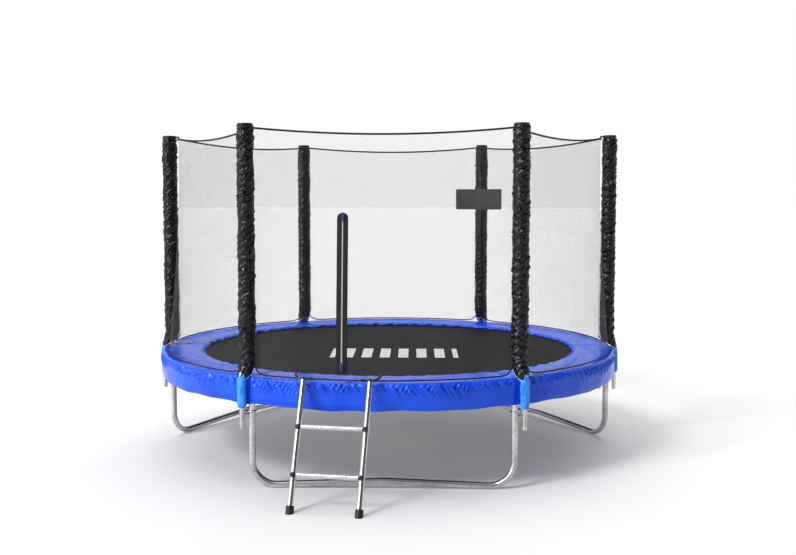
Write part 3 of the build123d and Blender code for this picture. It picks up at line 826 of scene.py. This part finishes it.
rope = mesh_piece("top_rope", *tube_parts(closed_line(rope_line, 41), 0.0055, 10, closed=True))
hem = mesh_piece("hem_cord", *tube_parts(closed_line(hem_line, 121, out=0.007), 0.004, 8, closed=True))
for piece, node in ((rope, "net_rope"), (hem, "net_hem")):
    piece.data.materials.append(black_rope)
    merge_close(piece)
    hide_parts(node)
    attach(piece, "frame")

# %% [markdown]
# The zip is a black tape sewn to the net, with a line of pale moulded teeth down its middle. Each
# tooth is a small block, and the row is one block repeated up the tape. In the zip's own
# frame x runs across, y towards the net and z up the tape, which leans inwards with the net.


# %% Zip tape and teeth
DOOR_AT = np.radians(-98.7)
DOOR_LOW_Z = 0.694
DOOR_LONG = 0.895
DOOR_HALF = 0.031
rope_y = CORNER_R * np.sin(np.radians(net_corners[0]))
hem_y = NET_R * np.sin(DOOR_AT)
door_lean = np.arctan2(rope_y - hem_y, NET_TOP_Z - NET_SAG - NET_LOW_Z)
door_y = hem_y + (DOOR_LOW_Z - NET_LOW_Z) * np.tan(door_lean) - 0.008


def on_door(x, y, z):
    """From the zip's own frame to the trampoline's: turned by the net's lean and moved to its foot."""
    x, y, z = np.broadcast_arrays(x, y, z)
    world_y = door_y + y * np.cos(door_lean) + z * np.sin(door_lean)
    world_z = DOOR_LOW_Z - y * np.sin(door_lean) + z * np.cos(door_lean)
    return np.stack([NET_R * np.cos(DOOR_AT) + x, world_y, world_z], -1)


def tape_skins():
    """Half-width is full below and follows a quarter circle near the top."""
    z = np.linspace(0, DOOR_LONG, 120)[:, None]
    near_top = np.clip((z - (DOOR_LONG - DOOR_HALF)) / DOOR_HALF, 0, 0.995)
    half = DOOR_HALF * np.sqrt(1 - near_top**2)
    across = np.linspace(-1, 1, 17)[None, :]
    pucker = 0.0006 * np.sin(z * 90) * np.abs(across)
    return on_door(across * half, -0.001 - pucker, z), on_door(across * half, 0.001 - pucker, z)


tape = shell_piece("zip_tape_cloth", *tape_skins(), DOOR_LONG, 2 * DOOR_HALF)
tape.data.materials.append(black_tape)
cube = np.array([[x, y, z] for z in (0, 1) for y in (0, 1) for x in (0, 1)], float)
cube_faces = np.array([[0, 2, 3, 1], [4, 5, 7, 6], [0, 1, 5, 4], [2, 6, 7, 3], [0, 4, 6, 2], [1, 3, 7, 5]])


def blocks_piece(name, low, high, place):
    """Many boxes at once: low and high are each box's two opposite corners."""
    points = low[:, None] + (high - low)[:, None] * cube[None]
    faces = (np.arange(len(low)) * 8)[:, None, None] + cube_faces[None]
    placed = place(*np.moveaxis(points.reshape(-1, 3), -1, 0))
    return mesh_piece(name, placed, faces.reshape(-1, 4), sharp=True)


tooth_z = np.arange(0.008, DOOR_LONG - 0.034, 0.0042)
tooth_x = np.where(np.arange(len(tooth_z)) % 2, 0.0012, -0.0012)
zeros = 0 * tooth_z
tooth_low = np.stack([tooth_x - 0.0032, zeros - 0.0031, tooth_z], -1)
tooth_high = np.stack([tooth_x + 0.0032, zeros - 0.0009, tooth_z + 0.0027], -1)
teeth = blocks_piece("zip_teeth", tooth_low, tooth_high, on_door)
pale_teeth = moulded("pale_teeth", (0.78, 0.78, 0.76), (0.66, 0.66, 0.64), 0.35, 0.5, 600)
teeth.data.materials.append(pale_teeth)
for piece in (tape, teeth):
    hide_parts("zip_tape")
    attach(piece, "frame")
print(len(tooth_z), "zip teeth")

# %% [markdown]
# The mat is one disc of tight weave, stretched flat. A band of webbing is sewn round its edge, and
# a short loop of webbing holds each wire ring. All three move down together when someone jumps.


# %% Jumping mat, webbing and loops
def disc_grid(inner_r, outer_r, z, rings, count=180):
    """Rings of points from one radius to the other, all round."""
    radius = np.linspace(inner_r, outer_r, rings)[:, None]
    angle = np.linspace(0, 2 * np.pi, count, endpoint=False)[None, :]
    return round_about(angle, radius, z)


mat_top = disc_grid(0.0, MAT_R, BED_Z + 0.0015, 40)
mat_low = disc_grid(0.0, MAT_R, BED_Z - 0.0015, 40)
mat = shell_piece("jumping_mat", mat_top, mat_low, MAT_R, 2 * np.pi * MAT_R, wrap=True)
flat_map = mat.data.uv_layers[0].data
corner = np.empty(len(mat.data.loops), np.int32)
mat.data.loops.foreach_get("vertex_index", corner)
mat_points = np.concatenate([mat_top.reshape(-1, 3), mat_low.reshape(-1, 3)])
flat_map.foreach_set("uv", np.ascontiguousarray(mat_points[corner, :2], np.float32).ravel())
merge_close(mat)
mat.data.materials.append(mat_weave)
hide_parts("mat")

band_top = disc_grid(MAT_R - 0.0395, MAT_R, BED_Z + 0.0039, 8)
band_low = disc_grid(MAT_R - 0.0395, MAT_R, BED_Z + 0.0016, 8)
band = shell_piece("mat_webbing", band_top, band_low, 0.04, 2 * np.pi * MAT_R, wrap=True)
band.data.materials.append(black_tape)


def spring_angles():
    return np.radians(360 / SPRING_COUNT * (np.arange(SPRING_COUNT) + 0.5))


def loop_parts(angle):
    """A webbing strap folded round the ring's wire: an oval line in (radius, height), 26 mm wide."""
    turn = np.linspace(0, 2 * np.pi, 14, endpoint=False)[None, :]
    side = np.linspace(-0.012, 0.012, 3)[:, None]
    skins = []
    for grow in (0.0, -0.0012):
        radius = MAT_R + 0.0068 + (0.0062 + grow) * np.cos(turn)
        height = BED_Z + (0.0042 + grow) * np.sin(turn)
        x = radius * np.cos(angle) - side * np.sin(angle)
        y = radius * np.sin(angle) + side * np.cos(angle)
        skins.append(np.stack([x, y, height + 0 * side], -1))
    return shell_parts(*skins, 0.024, 0.04, True)


loops = mesh_piece("ring_loops", *joined([loop_parts(angle) for angle in spring_angles()]))
loops.data.materials.append(black_tape)
for piece in (band, loops):
    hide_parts("mat_edge")
for piece in (mat, band, loops):
    merge_close(piece)
    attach(piece, "bed")

# %% [markdown]
# A spring is wire wound on a helix, with a hook at each end: the inner hook goes over its wire ring,
# the outer one through a hole in the rail. One line goes through all of it. When the mat drops, the
# inner ends drop with it and the outer ends stay. Here the springs are made three to a piece and
# are not attached to any body, so they stay fixed.


# %% Coil springs
COIL_IN_R = 1.338
COIL_OUT_R = 1.462
COIL_R = 0.0075
WIRE_R = 0.0015
COIL_TURNS = 27


def spring_line():
    """Along x the radius: hook, helix (x, R cos, R sin) and hook, as one list of points."""
    turn = np.linspace(0, 2 * np.pi * COIL_TURNS, COIL_TURNS * 9)
    x = np.linspace(COIL_IN_R, COIL_OUT_R, len(turn))
    ease = np.clip(np.minimum(turn, turn[-1] - turn) / np.pi, 0, 1)
    coil = np.stack([x, COIL_R * ease * np.sin(turn), BED_Z + COIL_R * ease * np.cos(turn)], -1)
    hook_x = MAT_R + 0.0195
    inner = [(hook_x, BED_Z - 0.005), (hook_x, BED_Z + 0.002), (hook_x + 0.002, BED_Z + 0.0045)]
    inner += [(hook_x + 0.012, BED_Z + 0.0048), (COIL_IN_R - 0.006, BED_Z + 0.003)]
    rail_x = RAIL_R - 0.009
    outer = [(COIL_OUT_R + 0.004, BED_Z), (rail_x - 0.006, BED_Z), (rail_x - 0.001, BED_Z - 0.002)]
    outer += [(rail_x, BED_Z - 0.009)]
    ends = [np.array([(a, 0, b) for a, b in hook], float) for hook in (inner, outer)]
    return np.concatenate([ends[0], coil, ends[1]])


def turned(points, angle):
    """Points turned round the vertical axis."""
    x = points[:, 0] * np.cos(angle) - points[:, 1] * np.sin(angle)
    y = points[:, 0] * np.sin(angle) + points[:, 1] * np.cos(angle)
    return np.stack([x, y, points[:, 2]], -1)


one_spring = tube_parts(spring_line(), WIRE_R, 5, helper=(0, 0.35, 1))
angles = spring_angles()
for number in range(SPRING_COUNT // 3):
    trio = angles[3 * number : 3 * number + 3]
    parts = [(turned(one_spring[0], angle), one_spring[1], one_spring[2]) for angle in trio]
    springs = merge_close(mesh_piece(f"springs_{number + 1:02d}", *joined(parts)), 1e-6)
    springs.data.materials.append(bolt_metal)
    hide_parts("springs")
    start = round_about(trio[1], RAIL_R - 0.012, BED_Z)
    end = round_about(trio[1], MAT_R + 0.035, BED_Z)
    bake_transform(springs)
print("one spring has", len(one_spring[1]), "faces")

# %% [markdown]
# Short elastic straps under the rail hold the padding down. Each is a band that goes from the pad's
# underside, round below the rail and up again outside it.


# %% Pad straps
def strap_parts(angle):
    """A U-shaped band in (radius, height), two centimetres wide along the rail."""
    low = np.linspace(np.pi, 2 * np.pi, 15)
    side = np.linspace(-0.010, 0.010, 5)[:, None]
    skins = []
    for radius in (0.0214, 0.0196):
        across = np.concatenate([[-radius], radius * np.cos(low), [radius]])
        height = np.concatenate([[0.0195], radius * np.sin(low), [0.0195]])
        x = (RAIL_R + across) * np.cos(angle) - side * np.sin(angle)
        y = (RAIL_R + across) * np.sin(angle) + side * np.cos(angle)
        skins.append(np.stack([x, y, RAIL_Z + height + 0 * side], -1))
    return shell_parts(*skins, 0.02, 0.11)


strap_angles = np.radians((leg_angles[:, None] + np.array([12, 48])).ravel())
straps = mesh_piece("pad_straps", *joined([strap_parts(angle) for angle in strap_angles]))
merge_close(straps)
straps.data.materials.append(black_tape)
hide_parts("pad_ties")
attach(straps, "frame")

# %% [markdown]
# The metal and moulded parts keep their machined shapes and only take a finish. A table from the
# start of a part's name to its material covers them all.

# %% Finishes of the machined parts
finish_of = {
    "top_rail": tube_metal,
    "leg_": tube_metal,
    "lower_pole": tube_metal,
    "upper_poles": tube_metal,
    "pole_clamps": bolt_metal,
    "pole_caps": black_plastic,
    "zip_slider": slider_lacquer,
    "zip_pull": slider_lacquer,
    "badge": black_plastic,
    "wire_rings": bolt_metal,
    "ladder_rail": ladder_metal,
    "ladder_step": ladder_metal,
    "ladder_bolts": black_plastic,
    "ladder_feet": black_rubber,
    "ladder_hooks": coated_hook,
}
for start, material in finish_of.items():
    for name in [name for name in nodes if name.startswith(start)]:
        nodes[name].data.materials.clear()
        nodes[name].data.materials.append(material)
print("finished", len(nodes), "nodes")

# %% [markdown]
# The setting is a plain white studio: a large pale floor, white walls behind and to the left, and a
# dark wall in front and to the right, so that black film and bare tubes show dark sides and bright
# lines. The dark wall begins a little above the floor's edge. Three suns light the piece: one high
# on the left, a low one that rakes the creases, and a wide one overhead that keeps shadows soft.

# %% Floor, light and camera
floor_points = np.array([[-150, -150, 0], [150, -150, 0], [150, 150, 0], [-150, 150, 0]], float)
floor = mesh_piece("studio_floor", floor_points, np.array([[0, 1, 2, 3]]))
pale_floor = Paint("pale_floor", (0.9, 0.9, 0.9), 0.7, Emission_Strength=0.17)
pale_floor.shader.inputs["Emission Color"].default_value = (1, 1, 1, 1)
uneven = pale_floor.clouds(0.6, 2)
pale_floor.color(pale_floor.blend_color(uneven, (0.585, 0.585, 0.585), (0.61, 0.61, 0.61)))
floor.data.materials.append(pale_floor.material)

DARK_SIDE = np.radians(-60)
world = bpy.data.worlds.new("studio")
bpy.context.scene.world = world
world.use_nodes = True
walls = world.node_tree
way = walls.nodes.new("ShaderNodeTexCoord")
axes = walls.nodes.new("ShaderNodeSeparateXYZ")
walls.links.new(way.outputs["Generated"], axes.inputs[0])
towards = math_node(walls, "MULTIPLY", axes.outputs[1], float(np.sin(DARK_SIDE)))
towards = math_node(walls, "MULTIPLY_ADD", axes.outputs[0], float(np.cos(DARK_SIDE)), towards)
aloft = math_node(walls, "MULTIPLY_ADD", axes.outputs[2], 10.0, -0.9, clamp=True)
towards = math_node(walls, "MULTIPLY", towards, aloft)
fade = walls.nodes.new("ShaderNodeMapRange")
fade.interpolation_type = "SMOOTHSTEP"
for label, value in (("From Min", 0.0), ("From Max", 0.5), ("To Min", 1.0), ("To Max", 0.08)):
    fade.inputs[label].default_value = value
walls.links.new(towards, fade.inputs["Value"])
walls.links.new(fade.outputs[0], walls.nodes["Background"].inputs["Strength"])
walls.nodes["Background"].inputs["Color"].default_value = (1, 1, 1, 1)


def soft_sun(name, towards_x, towards_y, towards_z, spread, strength):
    """Even light from one side of the sky; a wide spread in radians makes its shadows soft."""
    light = bpy.data.lights.new(name, "SUN")
    light.angle = spread
    light.energy = strength
    lamp = bpy.data.objects.new(name, light)
    bpy.context.scene.collection.objects.link(lamp)
    way = lamp.location.copy()
    way[:] = (-towards_x, -towards_y, -towards_z)
    lamp.rotation_euler = way.to_track_quat("-Z", "Y").to_euler()
    return lamp


soft_sun("key", -0.65, -0.60, 0.85, 0.28, 1.9)
soft_sun("side", -0.9, -0.6, 0.22, 0.3, 1.3)
soft_sun("top", 0.1, 0.1, 1.0, 1.3, 0.9)

camera_data = bpy.data.cameras.new("camera")
camera_data.sensor_width = 36
camera_data.lens = 47.34
camera_data.shift_x = 0.0118
camera = bpy.data.objects.new("camera", camera_data)
bpy.context.scene.collection.objects.link(camera)
camera.location = (0.1764, -7.170, 1.665)
camera.rotation_euler = (np.pi / 2 - 0.0774, 0, 0.0246)
bpy.context.scene.camera = camera
bpy.context.scene.view_settings.view_transform = "Standard"
bpy.context.scene.view_settings.gamma = 0.85
